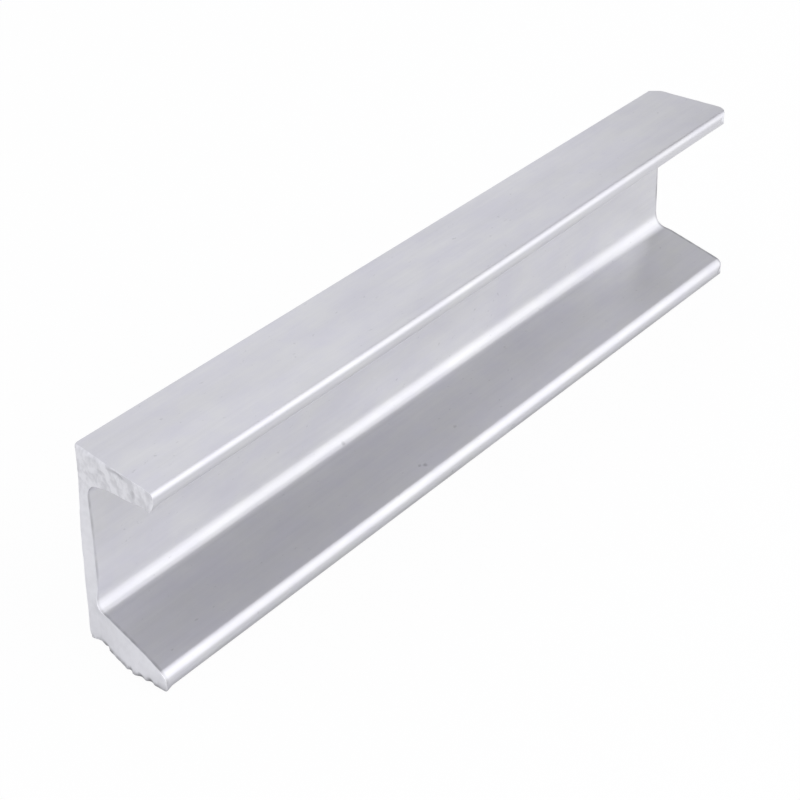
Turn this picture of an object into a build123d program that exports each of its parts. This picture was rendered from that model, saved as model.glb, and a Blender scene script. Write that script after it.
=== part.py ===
from build123d import *
from math import hypot, radians, tan
import os

# Stainless steel channel: one short length of rolled stock, cut off at both ends.
# It stands on the outer face of its lower flange. X runs along the length, Y from the
# flange toes (-Y) to the back of the web (+Y), and Z up the height of the web.
# Millimetres and degrees.

# Rolled section. The flanges are tapered on the inside, and their thickness is measured
# halfway between the web and the toe.
height = 80.0
flange_width = 43.0
web_thickness = 5.0
flange_thickness = 10.2
flange_slope = 0.18
root_radius = 7.5
toe_radius = 4.4
tip_radius = 2.2
heel_radius = 0.6

# Cut length, measured to the longest point of the end that is off square
length = 370.0

# Angles by which the hand cut at the -X end is off square: leaning back towards the top
# flange, and skewed back towards the web
cut_lean = 1.7
cut_skew = 9.3

# Radii, seen from above, to which the toes' corners are ground at the square end
lower_corner_radius = 6.0
upper_corner_radius = 12.0

# Places in the section that follow from these sizes
toe = -flange_width / 2
web_back = flange_width / 2
web_face = web_back - web_thickness
half_taper = flange_slope * (flange_width - web_thickness) / 2
tip_thickness = flange_thickness - half_taper
root_thickness = flange_thickness + half_taper

# Corners of the lower half of the section, from the heel round the toe to the root, each
# with its Y, its height and the radius that rounds it. The upper half mirrors them.
lower_corners = [
    (web_back, 0, heel_radius),
    (toe, 0, tip_radius),
    (toe, tip_thickness, toe_radius),
    (web_face, root_thickness, root_radius),
]
upper_corners = [(y, height - z, radius) for y, z, radius in reversed(lower_corners)]
corners = lower_corners + upper_corners

# The hand cut's plane rises back by this much for each millimetre up the web, and drifts
# back by this much for each millimetre from the toe to the web. It touches the -X end of
# the length on the round of the lower flange's toe, which is the longest point.
rise = tan(radians(cut_lean))
drift = tan(radians(cut_skew))
longest_point = rise * tip_radius - drift * (flange_width - tip_radius) - tip_radius * hypot(rise, drift)
hand_cut = Plane(origin=(-length / 2 - longest_point, web_back, 0), z_dir=(1, -drift, -rise))

with BuildPart() as channel:
    with BuildSketch(Plane.YZ.offset(-length / 2)):
        with BuildLine():
            FilletPolyline(
                [(y, z) for y, z, radius in corners],
                radius=[radius for y, z, radius in corners],
                close=True,
            )
        make_face()
    extrude(amount=length)
    split(bisect_by=hand_cut, keep=Keep.TOP)

    # Each corner loses what lies outside its radius, down to the mid height or from there
    # up. The block that takes it off also reaches past the end and past the toe.
    for radius, bottom in ((lower_corner_radius, 0), (upper_corner_radius, height / 2)):
        with BuildSketch(Plane.XY.offset(bottom)):
            with Locations((length / 2, toe)):
                Rectangle(2 * radius, 2 * radius)
            with Locations((length / 2 - radius, toe + radius)):
                Circle(radius, mode=Mode.SUBTRACT)
        extrude(amount=height / 2, mode=Mode.SUBTRACT)

channel.part.label = "channel"
os.makedirs("parts", exist_ok=True)
export_step(channel.part, "parts/channel.step")
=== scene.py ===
from collections import namedtuple
from math import ceil, cos, hypot, pi, radians, sin, sqrt, tan

import bmesh
import bpy
from bpy.props import FloatProperty, FloatVectorProperty, PointerProperty
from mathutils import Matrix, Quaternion, Vector, noise


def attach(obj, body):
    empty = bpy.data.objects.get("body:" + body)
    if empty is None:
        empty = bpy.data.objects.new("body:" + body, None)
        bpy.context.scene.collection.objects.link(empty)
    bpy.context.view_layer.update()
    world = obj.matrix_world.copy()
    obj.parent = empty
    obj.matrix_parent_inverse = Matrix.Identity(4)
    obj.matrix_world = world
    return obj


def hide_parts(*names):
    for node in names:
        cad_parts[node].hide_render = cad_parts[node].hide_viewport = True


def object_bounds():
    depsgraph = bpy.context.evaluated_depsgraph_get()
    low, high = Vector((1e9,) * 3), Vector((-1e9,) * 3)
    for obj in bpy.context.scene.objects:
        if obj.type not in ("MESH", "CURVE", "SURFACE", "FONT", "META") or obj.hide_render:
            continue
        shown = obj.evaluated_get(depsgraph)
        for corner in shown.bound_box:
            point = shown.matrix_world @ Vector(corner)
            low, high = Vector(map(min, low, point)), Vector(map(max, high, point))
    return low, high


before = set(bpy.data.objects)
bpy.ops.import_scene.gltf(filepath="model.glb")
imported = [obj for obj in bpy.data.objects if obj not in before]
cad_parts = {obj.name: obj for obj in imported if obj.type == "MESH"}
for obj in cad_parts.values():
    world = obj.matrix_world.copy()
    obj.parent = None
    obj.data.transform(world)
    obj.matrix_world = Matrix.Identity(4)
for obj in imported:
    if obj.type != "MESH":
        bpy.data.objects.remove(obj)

bl_info = {
    "name": "Stainless Steel Channel",
    "version": (1, 0, 0),
    "blender": (4, 5, 0),
    "location": "View3D > Sidebar > Channel",
    "description": "A short length of rolled stainless steel channel on a pale studio floor",
    "category": "Add Mesh",
}

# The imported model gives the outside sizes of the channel
cad_low, cad_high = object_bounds()
NODE = "channel"
MM = 0.001

# The section's corners are rounded with this many flats
HEEL_FLATS = 3
TIP_FLATS = 7
TOE_FLATS = 9
ROOT_FLATS = 12

# Spacing of the points over the section and along the length
GRID = 0.8 * MM
FIRST_STATION = 0.5 * MM
STATION_GROWTH = 1.13
WIDEST_STATION = 5.0 * MM
CLOSE_STATION = 0.7 * MM

# The rounded corners at the square end are divided by this angle
CORNER_STEP = radians(11)

# How far along the length the shape of a cut end fades out
END_REACH = 60 * MM

# Points closer than this are merged
MERGE = 0.01 * MM

# Slots of the two finishes on the channel
SKIN = 0
CUT = 1

Dent = namedtuple("Dent", "place reach push stain")

# Dents and chips in millimetres: the middle of each, its reach, how far it pushes the metal in, and
# how dark its colour is painted: dirt in the pits, painted shade in the chips along the foot
DENTS = (
    # Chips in the burr along the foot of the hand cut, darkened with painted shade, and the chipped
    # heel
    Dent((-180.0, 12.0, 0.0), (2.4, 1.8, 1.8), (0.5, 0, 0.2), 0.8),
    Dent((-184.4, -3.3, 0.0), (2.6, 1.8, 2.0), (0.6, 0, 0.2), 0.9),
    Dent((-184.9, -9.0, 0.0), (2.4, 2.6, 2.4), (0.5, 0, 0.3), 1.0),
    Dent((-184.9, -13.5, 0.0), (2.4, 2.2, 2.8), (0.6, 0, 0.3), 1.0),
    Dent((-179.4, 21.5, 0.0), (3.0, 3.0, 3.0), (0.2, -0.4, 0.3), 0.4),
    # Underside of the top flange, worn up a little at the hand cut
    Dent((-178.6, 2.0, 68.0), (4.0, 10.0, 6.0), (0.3, 0, 0.4), 0.0),
    # Folds below the top rim of the hand cut
    Dent((-179.5, -1.5, 78.6), (2.0, 6.5, 1.0), (0.6, 0, 0), 0.5),
    Dent((-180.9, -10.5, 74.6), (2.0, 1.4, 2.2), (0.5, 0, 0), 0.35),
    Dent((-178.0, 6.5, 75.0), (2.0, 3.0, 1.2), (0.4, 0, 0), 0.3),
    # Metal drawn out at the toes by the hand cut
    Dent((-183.0, -20.0, 73.6), (4.5, 3.8, 3.8), (-1.0, -0.5, -0.6), 0.0),
    Dent((-185.0, -20.6, 0.8), (3.5, 3.0, 2.4), (0, -0.35, -0.45), 0.0),
    # Pits in the lower flange
    Dent((-32.0, -14.8, 8.0), (1.4, 1.0, 2.0), (0, 0, -0.3), 0.6),
    Dent((-34.0, -13.6, 8.3), (1.1, 0.8, 2.0), (0, 0, -0.2), 0.5),
    Dent((-4.6, -8.8, 9.5), (1.3, 0.9, 2.0), (0, 0, -0.2), 0.4),
    Dent((-46.9, 13.9, 14.3), (1.4, 1.0, 2.0), (0, 0, -0.2), 0.5),
    # Nick in the lower toe
    Dent((17.5, -21.5, 2.3), (2.6, 2.0, 1.6), (0, 0.6, 0.1), 0.2),
)


class ChannelSizes(bpy.types.PropertyGroup):
    """Sizes of the rolled section and of its two cut ends."""

    length: FloatProperty(
        name="Length",
        description="From the longest point of the hand cut to the square end",
        default=cad_high.x - cad_low.x, min=0.05, unit="LENGTH")
    height: FloatProperty(
        name="Height",
        description="Height of the web over both flanges",
        default=cad_high.z - cad_low.z, min=0.03, unit="LENGTH")
    flange_width: FloatProperty(
        name="Flange width",
        description="From the back of the web to the toes of the flanges",
        default=cad_high.y - cad_low.y, min=0.02, unit="LENGTH")
    web_thickness: FloatProperty(
        name="Web thickness",
        description="Thickness of the web",
        default=5.0 * MM, min=0.001, unit="LENGTH")
    flange_thickness: FloatProperty(
        name="Flange thickness",
        description="Thickness of a flange halfway between the web and the toe",
        default=10.2 * MM, min=0.002, unit="LENGTH")
    flange_slope: FloatProperty(
        name="Flange slope",
        description="How much a flange gains in thickness for each unit towards the web",
        default=0.18, min=0.0, max=0.3)
    lower_slope: FloatProperty(
        name="Lower flange slope",
        description="The same for the lower flange, which came out of the rolls thicker at the web",
        default=0.204, min=0.0, max=0.3)
    root_radius: FloatProperty(
        name="Root radius",
        description="Radius between a flange and the web",
        default=7.5 * MM, min=0.0005, unit="LENGTH")
    toe_radius: FloatProperty(
        name="Toe radius",
        description="Radius on the inner edge of a flange's toe",
        default=4.4 * MM, min=0.0005, unit="LENGTH")
    tip_radius: FloatProperty(
        name="Tip radius",
        description="Radius on the outer edge of a flange's toe",
        default=2.2 * MM, min=0.0005, unit="LENGTH")
    heel_radius: FloatProperty(
        name="Heel radius",
        description="Radius on the outer corners of the web",
        default=0.6 * MM, min=0.0001, unit="LENGTH")
    cut_lean: FloatProperty(
        name="Cut lean",
        description="How far the hand cut leans back towards the top flange",
        default=radians(1.7), subtype="ANGLE", unit="ROTATION")
    cut_skew: FloatProperty(
        name="Cut skew",
        description="How far the hand cut is skewed back towards the web",
        default=radians(9.3), subtype="ANGLE", unit="ROTATION")
    lower_corner_radius: FloatProperty(
        name="Lower corner radius",
        description="Radius in plan of the lower toe's corner at the square end",
        default=6.0 * MM, min=0.001, unit="LENGTH")
    upper_corner_radius: FloatProperty(
        name="Upper corner radius",
        description="Radius in plan of the upper toe's corner at the square end, before it is drawn",
        default=7.0 * MM, min=0.001, unit="LENGTH")
    rim_wear: FloatProperty(
        name="Rim wear",
        description="Width of the broken edge round both cut ends",
        default=0.3 * MM, min=0.00005, unit="LENGTH")
    torn_depth: FloatProperty(
        name="Torn depth",
        description="Depth of the torn metal on the hand cut, greatest on its top flange",
        default=0.45 * MM, min=0.0, unit="LENGTH")
    burr: FloatProperty(
        name="Burr",
        description="How far the burr along the foot of the hand cut stands out",
        default=2.6 * MM, min=0.0, unit="LENGTH")
    toe_draw: FloatProperty(
        name="Toe draw",
        description="How far the top flange's toe is drawn back by the time it reaches the square end",
        default=2.7 * MM, min=0.0, unit="LENGTH")
    waviness: FloatProperty(
        name="Waviness",
        description="Depth of the faint waves that rolling left in the skin",
        default=0.07 * MM, min=0.0, unit="LENGTH")


class ChannelColours(bpy.types.PropertyGroup):
    """Colours of the rolled skin, of the cut metal and of the floor."""

    skin: FloatVectorProperty(
        name="Rolled skin",
        description="Colour of the pickled steel",
        default=(0.69, 0.69, 0.695), size=3, min=0.0, max=1.0, subtype="COLOR")
    skin_tint: FloatVectorProperty(
        name="Skin tint",
        description="Cooler colour of the pickled steel in its faint clouds",
        default=(0.665, 0.662, 0.695), size=3, min=0.0, max=1.0, subtype="COLOR")
    cut: FloatVectorProperty(
        name="Cut metal",
        description="Colour of the bare metal of the cut ends",
        default=(0.82, 0.82, 0.84), size=3, min=0.0, max=1.0, subtype="COLOR")
    cut_tint: FloatVectorProperty(
        name="Torn metal",
        description="Colour of the darker patches where the metal is torn",
        default=(0.68, 0.68, 0.70), size=3, min=0.0, max=1.0, subtype="COLOR")
    # This dark colour is the dirt in pits and dents, and is also painted on as shade in the chips,
    # along the foot of the hand cut and along the lower toe's foot
    dirt: FloatVectorProperty(
        name="Dirt",
        description="Colour of the scale and dirt in dents and along the burr",
        default=(0.16, 0.16, 0.17), size=3, min=0.0, max=1.0, subtype="COLOR")
    floor: FloatVectorProperty(
        name="Floor",
        description="Colour of the studio floor",
        default=(0.9, 0.9, 0.905), size=3, min=0.0, max=1.0, subtype="COLOR")


# Places of the section's corners

def section_corners(sizes):
    """Each corner of the section: its Y, its Z, and the radius and number of flats that round it."""
    toe = cad_low.y
    web_back = cad_high.y
    web_face = web_back - sizes.web_thickness
    inside_width = sizes.flange_width - sizes.web_thickness
    half_taper = sizes.flange_slope * inside_width / 2
    tip = sizes.flange_thickness - half_taper
    lower_root = tip + sizes.lower_slope * inside_width
    upper_root = sizes.flange_thickness + half_taper
    return [
        (web_back, 0.0, sizes.heel_radius, HEEL_FLATS),
        (toe, 0.0, sizes.tip_radius, TIP_FLATS),
        (toe, tip, sizes.toe_radius, TOE_FLATS),
        (web_face, lower_root, sizes.root_radius, ROOT_FLATS),
        (web_face, sizes.height - upper_root, sizes.root_radius, ROOT_FLATS),
        (toe, sizes.height - tip, sizes.toe_radius, TOE_FLATS),
        (toe, sizes.height, sizes.tip_radius, TIP_FLATS),
        (web_back, sizes.height, sizes.heel_radius, HEEL_FLATS),
    ]


def draw_section(bm, sizes):
    """Draws the section as one flat face at the hand-cut end, with every corner rounded."""
    corners = section_corners(sizes)
    verts = [bm.verts.new((cad_low.x, y, z)) for y, z, radius, flats in corners]
    bm.faces.new(verts)
    places = [vert.co.copy() for vert in verts]
    for i, (y, z, radius, flats) in enumerate(corners):
        before = places[i - 1] - places[i]
        after = places[(i + 1) % len(places)] - places[i]
        set_back = radius / tan(before.angle(after) / 2)
        bmesh.ops.bevel(
            bm, geom=[verts[i]], offset=set_back, offset_type="OFFSET", affect="VERTICES",
            segments=flats, profile=0.5, material=-1)


def stations(length):
    """Distances from the hand cut at which the length is divided, closest at ends and dents."""
    marks = []
    place = 0.0
    step = FIRST_STATION
    while place + step < length / 2:
        place += step
        marks.append(place)
        step = min(step * STATION_GROWTH, WIDEST_STATION)
    marks += [length - mark for mark in reversed(marks)]
    for dent in DENTS:
        first = dent.place[0] * MM - cad_low.x - dent.reach[0] * MM
        last = dent.place[0] * MM - cad_low.x + dent.reach[0] * MM
        if END_REACH < first and last < length - END_REACH:
            marks = [mark for mark in marks if not first < mark < last]
            parts = ceil((last - first) / CLOSE_STATION)
            marks += [first + i * (last - first) / parts for i in range(parts + 1)]
    return sorted(marks)


def divide(bm, place, direction):
    """Cuts every face where the plane through a place crosses it."""
    everything = bm.verts[:] + bm.edges[:] + bm.faces[:]
    bmesh.ops.bisect_plane(bm, geom=everything, dist=MERGE, plane_co=place, plane_no=direction)


def roll_length(sizes):
    """The straight, square length with broken rims, divided finely enough to take wear."""
    bm = bmesh.new()
    draw_section(bm, sizes)
    made = bmesh.ops.extrude_face_region(bm, geom=bm.faces[:], use_keep_orig=True)["geom"]
    far = [item for item in made if isinstance(item, bmesh.types.BMVert)]
    bmesh.ops.translate(bm, verts=far, vec=(sizes.length, 0, 0))
    bmesh.ops.recalc_face_normals(bm, faces=bm.faces)
    for face in bm.faces:
        face.material_index = CUT if abs(face.normal.x) > 0.9 else SKIN
    rims = [edge for edge in bm.edges if len({face.material_index for face in edge.link_faces}) == 2]
    bmesh.ops.bevel(
        bm, geom=rims, offset=sizes.rim_wear, offset_type="OFFSET", affect="EDGES",
        segments=2, profile=0.5, material=CUT)
    for mark in stations(sizes.length):
        divide(bm, (cad_low.x + mark, 0, 0), (1, 0, 0))
    for place in arc_lines(sizes):
        divide(bm, (0, cad_low.y + place, 0), (0, 1, 0))
    first = max(sizes.lower_corner_radius, sizes.toe_radius) / 2
    across = round((sizes.flange_width - first) / GRID)
    for i in range(across):
        place = first + i * (sizes.flange_width - first) / across
        divide(bm, (0, cad_low.y + place, 0), (0, 1, 0))
    upwards = round(sizes.height / GRID)
    for i in range(1, upwards):
        divide(bm, (0, 0, i * sizes.height / upwards), (0, 0, 1))
    return bm


def arc_lines(sizes):
    """Distances from the toe at which the rounded corners of the square end are divided."""
    lines = []
    for radius in (sizes.lower_corner_radius, sizes.upper_corner_radius):
        turn = CORNER_STEP
        while turn < radians(80):
            lines.append(radius * (1 - cos(turn)))
            turn += CORNER_STEP
    return sorted(lines)


# Shapes of the two cut ends. Lumps are the size, the layer and the share of each noise in them.

TORN_LUMPS = ((2.6 * MM, 3.1, 0.35), (1.5 * MM, 7.7, 0.25), (7.0 * MM, 1.3, 0.6))
RAGGED_LUMPS = ((2.3 * MM, 5.5, 0.3), (1.1 * MM, 9.5, 0.1))
WORN_LUMPS = ((4.0 * MM, 6.1, 1.0), (1.6 * MM, 8.3, 0.5))
UNEVEN_RIM = (4.0 * MM, 2.2)
# Noise that makes the darkening uneven, and the streaks in the painted shade along the lower toe's
# foot
UNEVEN_STAIN = (3.0 * MM, 4.4)
FOOT_STREAKS = (12.0 * MM, 6.6)

# The metal is torn deepest over the top flange, which begins between these heights
TOP_FLANGE = (56 * MM, 66 * MM)

# The hand cut's web lies back, and its outer edge stands out
WEB_BACK = 0.7 * MM
WEB_EDGE_OUT = 1.9 * MM

# Height of the burr, and middle, reach and size of what the cut left standing at the root
BURR_HEIGHT = 9 * MM
NEAR_ROOT = (14.5 * MM, 16.5 * MM)
NEAR_ROOT_REACH = 6.5 * MM
NEAR_ROOT_OUT = 1.6 * MM

# The square end: its skew over the lower flange, its chipped back corner, and its root and web
END_SKEW = 0.1
END_SKEW_FROM = 7.5 * MM
CHIP_SLOPE = 0.75
CHIP_FROM = 17 * MM
FAR_ROOT = (13 * MM, 16.5 * MM)
FAR_ROOT_REACH = 5.5 * MM
FAR_ROOT_SHORT = 1.1 * MM
FAR_WEB_SHORT = 0.2 * MM
END_WORN = 0.4 * MM


def ease(value, start, end):
    """0 up to the start, 1 from the end on, and a smooth rise between them."""
    share = min(max((value - start) / (end - start), 0.0), 1.0)
    return share * share * (3 - 2 * share)


def rough(y, z, size, layer):
    """Noise from 0 to 1 over a cut face, with lumps of a size."""
    return 0.5 + 0.5 * noise.noise(Vector((y / size, z / size, layer)))


def rough_sum(y, z, lumps):
    """Several noises added up by their shares."""
    return sum(share * rough(y, z, size, layer) for size, layer, share in lumps)


def hand_cut_plane(y, z, sizes):
    """How far the hand cut lies behind the longest point, at a place on the section."""
    rise = tan(sizes.cut_lean)
    drift = tan(sizes.cut_skew)
    longest = (rise * sizes.tip_radius - drift * (sizes.flange_width - sizes.tip_radius)
               - sizes.tip_radius * sqrt(rise * rise + drift * drift))
    return rise * z - drift * (cad_high.y - y) - longest


def hand_cut_offset(y, z, sizes):
    """The hand cut with its torn metal, its uneven web, and what it left at root and foot."""
    depth = sizes.torn_depth * (0.12 + 0.88 * ease(z, *TOP_FLANGE))
    torn = depth * (rough_sum(y, z, TORN_LUMPS) - 0.4)
    web = (1 - ease(z, 40 * MM, 68 * MM)) * ease(y, 8 * MM, 16 * MM)
    web_edge = ease(y, cad_high.y - sizes.web_thickness, cad_high.y)
    uneven_web = web * (WEB_BACK - WEB_EDGE_OUT * web_edge)
    foot = max(0.0, 1 - z / BURR_HEIGHT)
    ragged = 0.85 + rough_sum(y, 0.0, RAGGED_LUMPS) * foot * foot
    burr = sizes.burr * foot * ragged * ease(-y, -cad_high.y, 8 * MM)
    away = hypot(y - NEAR_ROOT[0], z - NEAR_ROOT[1])
    root = NEAR_ROOT_OUT * (1 - ease(away, 0.0, NEAR_ROOT_REACH))
    return max(hand_cut_plane(y, z, sizes) + torn + uneven_web - burr - root, 0.0)


def square_end_offset(y, z, sizes):
    """How far the square end lies short of the full length, with its toes' corners ground."""
    middle = sizes.height / 2
    lower = z < middle
    radius = sizes.lower_corner_radius if lower else sizes.upper_corner_radius
    inside = max(radius - (y - cad_low.y), 0.0)
    ground = radius - sqrt(max(radius * radius - inside * inside, 0.0))
    skewed = END_SKEW * max(END_SKEW_FROM - y, 0.0) if lower else 0.0
    web = ease(z, 18 * MM, 45 * MM) * (1 - ease(z, 66 * MM, 76 * MM)) * ease(y, 6 * MM, 14 * MM)
    chipped = CHIP_SLOPE * max(y - CHIP_FROM, 0.0) * ease(z, 62 * MM, 74 * MM)
    away = hypot(y - FAR_ROOT[0], z - FAR_ROOT[1])
    root = FAR_ROOT_SHORT * (1 - ease(away, 0.0, FAR_ROOT_REACH))
    worn = END_WORN * rough_sum(y, z, WORN_LUMPS) * ease(abs(z - middle), 30 * MM, 38 * MM)
    return max(ground, skewed) + web * FAR_WEB_SHORT + root + chipped + worn


def shape_ends(bm, sizes):
    """Slides both ends to their shapes, and lets the slide fade along the length."""
    for vert in bm.verts:
        near = max(0.0, 1 - (vert.co.x - cad_low.x) / END_REACH)
        far = max(0.0, 1 - (cad_high.x - vert.co.x) / END_REACH)
        if near > 0:
            vert.co.x += hand_cut_offset(vert.co.y, vert.co.z, sizes) * near * near
        elif far > 0:
            vert.co.x -= square_end_offset(vert.co.y, vert.co.z, sizes) * far * far


def soften_rim(bm, sizes):
    """Wears the outer rims of the hand cut round, most along the top flange near the web."""
    for vert in bm.verts:
        back = vert.co.x - cad_low.x - hand_cut_offset(vert.co.y, vert.co.z, sizes)
        if back > 5 * MM:
            continue
        uneven = 0.65 + 0.7 * rough(vert.co.y, vert.co.z, *UNEVEN_RIM)
        top_width = (0.3 + 2.3 * ease(vert.co.y, -4 * MM, 8 * MM)) * MM * uneven
        rims = (
            (cad_high.z - vert.co.z, top_width, Vector((0, 0, -1))),
            (cad_high.y - vert.co.y, 0.9 * MM * uneven, Vector((0, -1, 0))),
        )
        for depth, width, inward in rims:
            if back < width and depth < width:
                side = hypot(width - back, width - depth)
                if side > width:
                    share = 1 - width / side
                    vert.co.x += (width - back) * share
                    vert.co += inward * ((width - depth) * share)
                    back += (width - back) * share


def press_dents(bm, stain):
    """Presses every dent and chip into the mesh, fading out over its reach, and marks its darkening:
    dirt in the pits, painted shade in the chips.
    """
    for dent in DENTS:
        middle = Vector(dent.place) * MM
        push = Vector(dent.push) * MM
        for vert in bm.verts:
            away = vert.co - middle
            share = 1 - sum((away[i] / (dent.reach[i] * MM)) ** 2 for i in range(3))
            if share > 0:
                vert.co += push * (share * share)
                vert.co = [min(max(vert.co[i], cad_low[i]), cad_high[i]) for i in range(3)]
                vert[stain] = max(vert[stain], dent.stain * share)


def stain_rims(bm, stain, sizes):
    """Marks where the colour is darkened: a thin band along the rims of both ends, and painted shade
    along the foot of the hand cut and along the lower toe's foot.
    """
    for vert in bm.verts:
        y = vert.co.y
        z = vert.co.z
        uneven = rough(y, z, *UNEVEN_STAIN)
        back = vert.co.x - cad_low.x - hand_cut_offset(y, z, sizes)
        short = cad_high.x - vert.co.x - square_end_offset(y, z, sizes)
        if back < 3 * MM:
            # Painted shade along the foot of the hand cut, where the burr meets the floor
            foot = (1 - ease(z, 0.4 * MM, 2.2 * MM)) * uneven * ease(-y, -20 * MM, -16 * MM)
            # A darker band just behind the rim of the hand cut
            inner = 0.6 * uneven * ease(back, 0.1 * MM, 0.5 * MM)
            inner *= 1 - ease(back, 0.7 * MM, 1.8 * MM)
            inner *= ease(z, 1.0 * MM, 4.0 * MM) * (1 - ease(z, 74 * MM, 78 * MM))
            vert[stain] = max(vert[stain], foot, inner)
        # A darker band along the rims of the square end, below the top flange
        if short < 3 * MM and z < 70 * MM:
            rim = uneven * ease(short, 0.05 * MM, 0.3 * MM)
            rim *= 1 - ease(short, 0.5 * MM, 2.0 * MM)
            vert[stain] = max(vert[stain], rim)
        # Painted shade along the lower toe's foot, standing in for the floor's contact shadow
        # reflected there, uneven along the length
        if y < -17 * MM and z < 5 * MM:
            streak = 0.2 + 0.5 * rough(vert.co.x, z, *FOOT_STREAKS)
            vert[stain] = max(vert[stain], (1 - ease(z, 0.3 * MM, 4.2 * MM)) * streak)


def draw_toe(bm, sizes):
    """Lets the top flange narrow a little towards the square end, as a hot-rolled flange may."""
    for vert in bm.verts:
        if vert.co.z > sizes.height / 2:
            along = ease(vert.co.x, -100 * MM, cad_high.x)
            outwards = ease(-vert.co.y, 2 * MM, -cad_low.y)
            vert.co.y += sizes.toe_draw * along * outwards


def roll_waves(bm, sizes):
    """Lets the skin rise and fall faintly, always inside the nominal section."""
    bm.normal_update()
    for vert in bm.verts:
        x, y, z = vert.co / MM
        long_wave = noise.noise(Vector((x / 55, y / 17, z / 17)))
        short_wave = noise.noise(Vector((x / 20 + 40, y / 9, z / 9)))
        depth = sizes.waviness * (0.5 + 0.38 * long_wave + 0.12 * short_wave)
        vert.co -= vert.normal * depth


def smooth_shade(bm):
    """Smooth faces, with sharp edges where the cut ends meet the rolled skin."""
    bm.normal_update()
    for face in bm.faces:
        face.smooth = True
    for edge in bm.edges:
        if len(edge.link_faces) == 2 and edge.calc_face_angle() > radians(32):
            edge.smooth = False


# Shader helpers

def add_node(tree, kind, inputs=None, **settings):
    """A shader node with its settings and the starting values of its sockets."""
    node = tree.nodes.new(kind)
    for name, value in settings.items():
        setattr(node, name, value)
    for name, value in (inputs or {}).items():
        node.inputs[name].default_value = value
    return node


def stretched_noise(tree, coordinates, scale, detail, roughness=0.55):
    """Noise whose grain is drawn out by a different scale along each axis."""
    mapping = add_node(tree, "ShaderNodeMapping", {"Scale": scale})
    tree.links.new(coordinates, mapping.inputs["Vector"])
    grain = add_node(tree, "ShaderNodeTexNoise", {
        "Scale": 1.0, "Detail": detail, "Roughness": roughness})
    tree.links.new(mapping.outputs["Vector"], grain.inputs["Vector"])
    return grain.outputs["Fac"]


def spread(tree, value, low, high, to_low, to_high):
    """Maps a range of a value onto another range, and clamps it there."""
    node = add_node(tree, "ShaderNodeMapRange", {
        "From Min": low, "From Max": high, "To Min": to_low, "To Max": to_high})
    tree.links.new(value, node.inputs["Value"])
    return node.outputs["Result"]


def combine(tree, operation, first, second):
    """The sum, product or larger one of a socket and of another socket or a number."""
    node = add_node(tree, "ShaderNodeMath", operation=operation)
    tree.links.new(first, node.inputs[0])
    if isinstance(second, float):
        node.inputs[1].default_value = second
    else:
        tree.links.new(second, node.inputs[1])
    return node.outputs[0]


def mix_colours(tree, factor, first, second, blend="MIX"):
    """Mixes two colours, each of which is a plain colour or a socket."""
    node = add_node(tree, "ShaderNodeMix", data_type="RGBA", blend_type=blend)
    factor_input, first_input, second_input = node.inputs[0], node.inputs[6], node.inputs[7]
    for socket, value in ((factor_input, factor), (first_input, first), (second_input, second)):
        if isinstance(value, bpy.types.NodeSocket):
            tree.links.new(value, socket)
        elif isinstance(value, float):
            socket.default_value = value
        else:
            socket.default_value = (*value, 1.0)
    return node.outputs[2]


def bump(tree, height, strength, distance, under=None):
    """A bump from a height, over another one where that is given."""
    node = add_node(tree, "ShaderNodeBump", {"Strength": strength, "Distance": distance})
    tree.links.new(height, node.inputs["Height"])
    if under is not None:
        tree.links.new(under, node.inputs["Normal"])
    return node.outputs["Normal"]


def stained(tree, colour, dirt):
    """A colour darkened where the mesh is marked, by dirt and by painted shade."""
    mark = add_node(tree, "ShaderNodeAttribute", attribute_name="stain").outputs["Fac"]
    return mix_colours(tree, spread(tree, mark, 0.05, 1.0, 0.0, 0.85), colour, dirt)


def new_material(name):
    """An empty node material with its output."""
    material = bpy.data.materials.new(name)
    material.use_nodes = True
    tree = material.node_tree
    tree.nodes.clear()
    output = tree.nodes.new("ShaderNodeOutputMaterial")
    return material, tree, output


# Patterns in the finishes: how many lumps they have to the metre along X, Y and Z

STREAKS = (16, 700, 700)
BANDS = (3, 150, 150)
CLOUDS = (55, 105, 105)
PATCHES = (11, 38, 38)
GRAIN = (500, 900, 900)
SPECKS = (330, 520, 520)
TORN = (480, 480, 480)
FINE = (1500, 1500, 1500)
BLOTCHES = (260, 260, 260)


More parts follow.
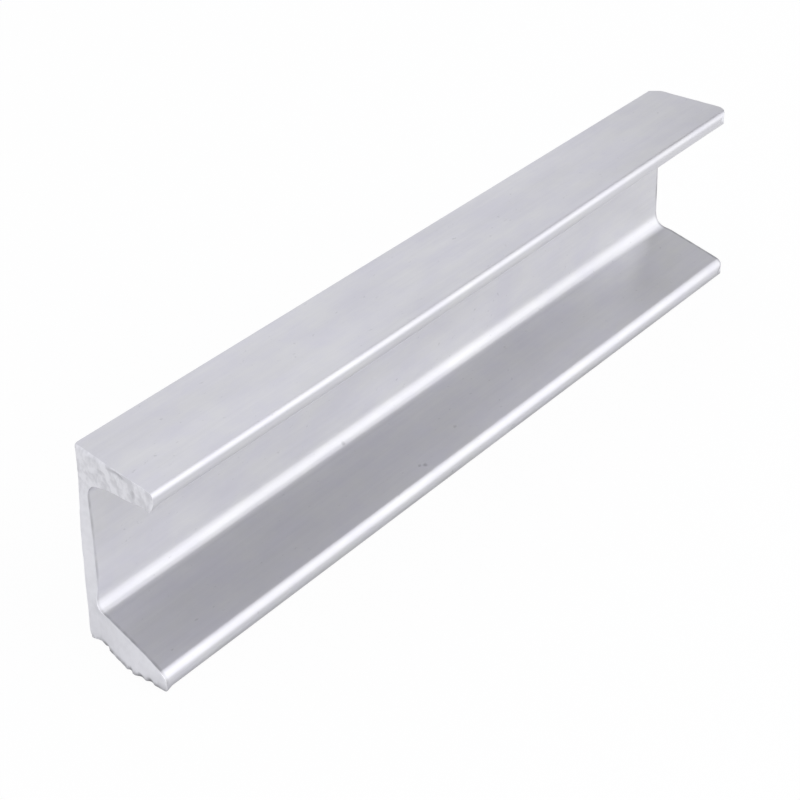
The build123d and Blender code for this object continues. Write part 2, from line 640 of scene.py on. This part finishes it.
def rolled_skin(colours):
    """Pickled hot-rolled skin: dull satin metal with streaks along the length and faint clouds."""
    material, tree, output = new_material("rolled_skin")
    place = add_node(tree, "ShaderNodeTexCoord").outputs["Object"]
    streaks = stretched_noise(tree, place, STREAKS, 4.0)
    bands = stretched_noise(tree, place, BANDS, 3.0)
    clouds = stretched_noise(tree, place, CLOUDS, 5.0, 0.6)
    grain = stretched_noise(tree, place, GRAIN, 3.0)
    specks = stretched_noise(tree, place, SPECKS, 2.0)
    patches = stretched_noise(tree, place, PATCHES, 3.0)
    cloudy = spread(tree, clouds, 0.35, 0.65, 0.0, 1.0)
    tint = mix_colours(tree, cloudy, colours.skin, colours.skin_tint)
    dull = combine(
        tree, "MULTIPLY", spread(tree, streaks, 0.3, 0.7, 0.96, 1.0),
        spread(tree, specks, 0.70, 0.78, 1.0, 0.85))
    uneven = combine(tree, "MULTIPLY", dull, spread(tree, patches, 0.36, 0.64, 0.968, 1.03))
    shade = add_node(tree, "ShaderNodeCombineColor")
    for socket in shade.inputs[:3]:
        tree.links.new(uneven, socket)
    colour = mix_colours(tree, 1.0, tint, shade.outputs["Color"], "MULTIPLY")
    roughness = combine(
        tree, "ADD", spread(tree, streaks, 0.3, 0.7, 0.38, 0.41),
        spread(tree, clouds, 0.3, 0.7, 0.0, 0.05))
    relief = bump(tree, streaks, 0.05, 0.05 * MM)
    relief = bump(tree, bands, 0.2, 0.1 * MM, relief)
    relief = bump(tree, grain, 0.06, 0.05 * MM, relief)
    relief = bump(tree, clouds, 0.12, 0.15 * MM, relief)
    steel = add_node(tree, "ShaderNodeBsdfPrincipled", {"Metallic": 1.0})
    tree.links.new(stained(tree, colour, colours.dirt), steel.inputs["Base Color"])
    tree.links.new(roughness, steel.inputs["Roughness"])
    tree.links.new(relief, steel.inputs["Normal"])
    tree.links.new(steel.outputs[0], output.inputs["Surface"])
    return material


def cut_metal(colours):
    """Bare metal of the cut ends: paler and rougher, and torn on the top flange."""
    material, tree, output = new_material("cut_metal")
    place = add_node(tree, "ShaderNodeTexCoord").outputs["Object"]
    height = add_node(tree, "ShaderNodeSeparateXYZ")
    tree.links.new(place, height.inputs[0])
    top = spread(tree, height.outputs["Z"], *TOP_FLANGE, 0.25, 1.0)
    torn = stretched_noise(tree, place, TORN, 5.0, 0.6)
    fine = stretched_noise(tree, place, FINE, 3.0, 0.6)
    blotches = stretched_noise(tree, place, BLOTCHES, 4.0)
    blotchy = combine(tree, "MULTIPLY", spread(tree, blotches, 0.42, 0.62, 0.0, 1.0), top)
    colour = mix_colours(tree, blotchy, colours.cut, colours.cut_tint)
    relief = bump(tree, combine(tree, "MULTIPLY", torn, top), 0.25, 0.3 * MM)
    relief = bump(tree, fine, 0.2, 0.1 * MM, relief)
    steel = add_node(tree, "ShaderNodeBsdfPrincipled", {"Metallic": 1.0, "Roughness": 0.5})
    tree.links.new(stained(tree, colour, colours.dirt), steel.inputs["Base Color"])
    tree.links.new(relief, steel.inputs["Normal"])
    tree.links.new(steel.outputs[0], output.inputs["Surface"])
    return material


class CHANNEL_OT_rolled_length(bpy.types.Operator):
    """Builds the rolled length, with its cut ends and its wear, in place of the plain solid"""

    bl_idname = "channel.rolled_length"
    bl_label = "Rolled length"

    def execute(self, context):
        sizes = context.scene.channel_sizes
        colours = context.scene.channel_colours
        bm = roll_length(sizes)
        # One layer of darkening: dirt in the pits and dents, painted shade in the chips and along both
        # feet
        stain = bm.verts.layers.float.new("stain")
        shape_ends(bm, sizes)
        soften_rim(bm, sizes)
        stain_rims(bm, stain, sizes)
        press_dents(bm, stain)
        draw_toe(bm, sizes)
        roll_waves(bm, sizes)
        bmesh.ops.remove_doubles(bm, verts=bm.verts, dist=MERGE)
        bmesh.ops.recalc_face_normals(bm, faces=bm.faces)
        smooth_shade(bm)
        mesh = bpy.data.meshes.new("rolled_channel")
        bm.to_mesh(mesh)
        bm.free()
        mesh.materials.append(rolled_skin(colours))
        mesh.materials.append(cut_metal(colours))
        piece = bpy.data.objects.new("rolled_channel", mesh)
        context.scene.collection.objects.link(piece)
        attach(piece, "root")
        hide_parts(NODE)
        return {"FINISHED"}


# Stage

CAMERA_TARGET = Vector((-28.0 * MM, 0.0, 30.31 * MM))
CAMERA_AZIMUTH = radians(51.078)
CAMERA_ELEVATION = radians(31.8545)
CAMERA_ROLL = radians(-1.5815)
CAMERA_DISTANCE = 806.74 * MM
CAMERA_LENS = 93.582

PANEL_DIRECTION = Vector((0.36, -0.72, 0.59))
PANEL_DISTANCE = 1.1
PANEL_LENGTH = 1.7
PANEL_WIDTH = 1.4
PANEL_RADIANCE = 0.72

# Grey card that stands in front of the square end, outside the camera's view
CARD_DIRECTION = Vector((sin(radians(78)), cos(radians(78)), 0.0))
CARD_DISTANCE = 1.4
CARD_WIDTH = 0.6
CARD_HEIGHT = 1.8
CARD_GREY = 0.4

# The world's light, and the cool white that metal sees of it
WORLD_LIGHT = (0.97, 0.97, 1.0, 1.0)
WORLD_STRENGTH = 0.9
WORLD_WHITE = (0.955, 0.955, 1.0, 1.0)

# Half the side of the floor
FLOOR_SIZE = 4.0

# How much of what the camera and the metal see of the floor is plain white
FLOOR_WHITE_SEEN = 0.95
FLOOR_WHITE_REFLECTED = 0.1


def background_rays(tree, camera=1.0, reflected=1.0):
    """Factors for rays from the camera and for rays that metal or glass sends on, otherwise 0."""
    path = add_node(tree, "ShaderNodeLightPath")
    seen = combine(tree, "MULTIPLY", path.outputs["Is Camera Ray"], camera)
    for name in ("Is Glossy Ray", "Is Transmission Ray"):
        sent_on = combine(tree, "MULTIPLY", path.outputs[name], reflected)
        seen = combine(tree, "MAXIMUM", seen, sent_on)
    return seen


def studio_floor(colours):
    """Pale floor that the camera sees as white, with the channel's soft shadow left on it."""
    material, tree, output = new_material("studio_floor")
    plain = add_node(tree, "ShaderNodeBsdfDiffuse", {"Color": (*colours.floor, 1.0)})
    white = add_node(tree, "ShaderNodeEmission", {"Color": (1, 1, 1, 1), "Strength": 1.0})
    mix = add_node(tree, "ShaderNodeMixShader")
    white_share = background_rays(tree, FLOOR_WHITE_SEEN, FLOOR_WHITE_REFLECTED)
    tree.links.new(white_share, mix.inputs["Fac"])
    tree.links.new(plain.outputs[0], mix.inputs[1])
    tree.links.new(white.outputs[0], mix.inputs[2])
    tree.links.new(mix.outputs[0], output.inputs["Surface"])
    return material


def white_world(scene):
    """Even light from all round, which the camera sees as white."""
    world = bpy.data.worlds.new("studio")
    world.use_nodes = True
    tree = world.node_tree
    tree.nodes.clear()
    output = tree.nodes.new("ShaderNodeOutputWorld")
    light = add_node(tree, "ShaderNodeBackground", {"Color": WORLD_LIGHT, "Strength": WORLD_STRENGTH})
    white = add_node(tree, "ShaderNodeBackground", {"Color": WORLD_WHITE, "Strength": 1.0})
    mix = add_node(tree, "ShaderNodeMixShader")
    tree.links.new(background_rays(tree), mix.inputs["Fac"])
    tree.links.new(light.outputs[0], mix.inputs[1])
    tree.links.new(white.outputs[0], mix.inputs[2])
    tree.links.new(mix.outputs[0], output.inputs["Surface"])
    scene.world = world


def grey_card(scene):
    """Stands a grey card on the floor, which only the metal sees, to keep the far end calm."""
    material, tree, output = new_material("grey_card")
    plain = add_node(tree, "ShaderNodeBsdfDiffuse", {"Color": (CARD_GREY, CARD_GREY, CARD_GREY, 1.0)})
    tree.links.new(plain.outputs[0], output.inputs["Surface"])
    bm = bmesh.new()
    bmesh.ops.create_grid(bm, x_segments=1, y_segments=1, size=0.5)
    bmesh.ops.scale(bm, verts=bm.verts, vec=(CARD_WIDTH, CARD_HEIGHT, 1.0))
    turn = CARD_DIRECTION.to_track_quat("Z", "Y").to_matrix()
    bmesh.ops.rotate(bm, verts=bm.verts, matrix=turn)
    middle = CARD_DIRECTION * CARD_DISTANCE + Vector((0, 0, CARD_HEIGHT / 2))
    bmesh.ops.translate(bm, verts=bm.verts, vec=middle)
    mesh = bpy.data.meshes.new("grey_card")
    bm.to_mesh(mesh)
    bm.free()
    mesh.materials.append(material)
    card = bpy.data.objects.new("grey_card", mesh)
    card.visible_camera = False
    scene.collection.objects.link(card)


def soft_panel(scene):
    """A large soft lamp that faces the channel from the front."""
    lamp = bpy.data.lights.new("front_panel", "AREA")
    lamp.shape = "RECTANGLE"
    lamp.size = PANEL_LENGTH
    lamp.size_y = PANEL_WIDTH
    lamp.energy = PANEL_RADIANCE * pi * PANEL_LENGTH * PANEL_WIDTH
    panel = bpy.data.objects.new("front_panel", lamp)
    panel.visible_camera = False
    away = PANEL_DIRECTION.normalized()
    panel.location = away * PANEL_DISTANCE
    panel.rotation_mode = "QUATERNION"
    panel.rotation_quaternion = away.to_track_quat("Z", "Y")
    scene.collection.objects.link(panel)


def lay_floor(scene, colours):
    """Lays the floor as one flat square."""
    bm = bmesh.new()
    bmesh.ops.create_grid(bm, x_segments=1, y_segments=1, size=FLOOR_SIZE)
    mesh = bpy.data.meshes.new("studio_floor")
    bm.to_mesh(mesh)
    bm.free()
    mesh.materials.append(studio_floor(colours))
    ground = bpy.data.objects.new("studio_floor", mesh)
    scene.collection.objects.link(ground)


def aim_camera(scene):
    """Sets the camera at the photograph's angle."""
    lens = bpy.data.cameras.new("camera")
    lens.sensor_width = 36.0
    lens.lens = CAMERA_LENS
    lens.clip_start = 0.01
    lens.clip_end = 50.0
    camera = bpy.data.objects.new("camera", lens)
    ahead = Vector((
        sin(CAMERA_AZIMUTH) * cos(CAMERA_ELEVATION),
        cos(CAMERA_AZIMUTH) * cos(CAMERA_ELEVATION),
        -sin(CAMERA_ELEVATION)))
    camera.location = CAMERA_TARGET - ahead * CAMERA_DISTANCE
    camera.rotation_mode = "QUATERNION"
    roll = Quaternion((0, 0, 1), CAMERA_ROLL)
    camera.rotation_quaternion = ahead.to_track_quat("-Z", "Y") @ roll
    scene.collection.objects.link(camera)
    scene.camera = camera


class CHANNEL_OT_stage(bpy.types.Operator):
    """Sets the floor, the soft light and the camera"""

    bl_idname = "channel.stage"
    bl_label = "Stage"

    def execute(self, context):
        scene = context.scene
        lay_floor(scene, scene.channel_colours)
        white_world(scene)
        grey_card(scene)
        soft_panel(scene)
        aim_camera(scene)
        scene.view_settings.view_transform = "Standard"
        return {"FINISHED"}


class CHANNEL_PT_builder(bpy.types.Panel):
    """Builds the channel and its stage."""

    bl_idname = "CHANNEL_PT_builder"
    bl_label = "Steel Channel"
    bl_space_type = "VIEW_3D"
    bl_region_type = "UI"
    bl_category = "Channel"

    def draw(self, context):
        layout = self.layout
        for group in (context.scene.channel_sizes, context.scene.channel_colours):
            column = layout.column(align=True)
            for name in group.__annotations__:
                column.prop(group, name)
        layout.operator(CHANNEL_OT_rolled_length.bl_idname)
        layout.operator(CHANNEL_OT_stage.bl_idname)


CLASSES = (
    ChannelSizes,
    ChannelColours,
    CHANNEL_OT_rolled_length,
    CHANNEL_OT_stage,
    CHANNEL_PT_builder,
)


def register():
    """Registers the add-on's classes and its two groups of settings."""
    for cls in CLASSES:
        bpy.utils.register_class(cls)
    bpy.types.Scene.channel_sizes = PointerProperty(type=ChannelSizes)
    bpy.types.Scene.channel_colours = PointerProperty(type=ChannelColours)


def unregister():
    """Takes the settings and the classes out again."""
    del bpy.types.Scene.channel_colours
    del bpy.types.Scene.channel_sizes
    for cls in reversed(CLASSES):
        bpy.utils.unregister_class(cls)


def main():
    """Builds the channel and the stage."""
    register()
    bpy.ops.channel.rolled_length()
    bpy.ops.channel.stage()


if __name__ == "__main__":
    main()
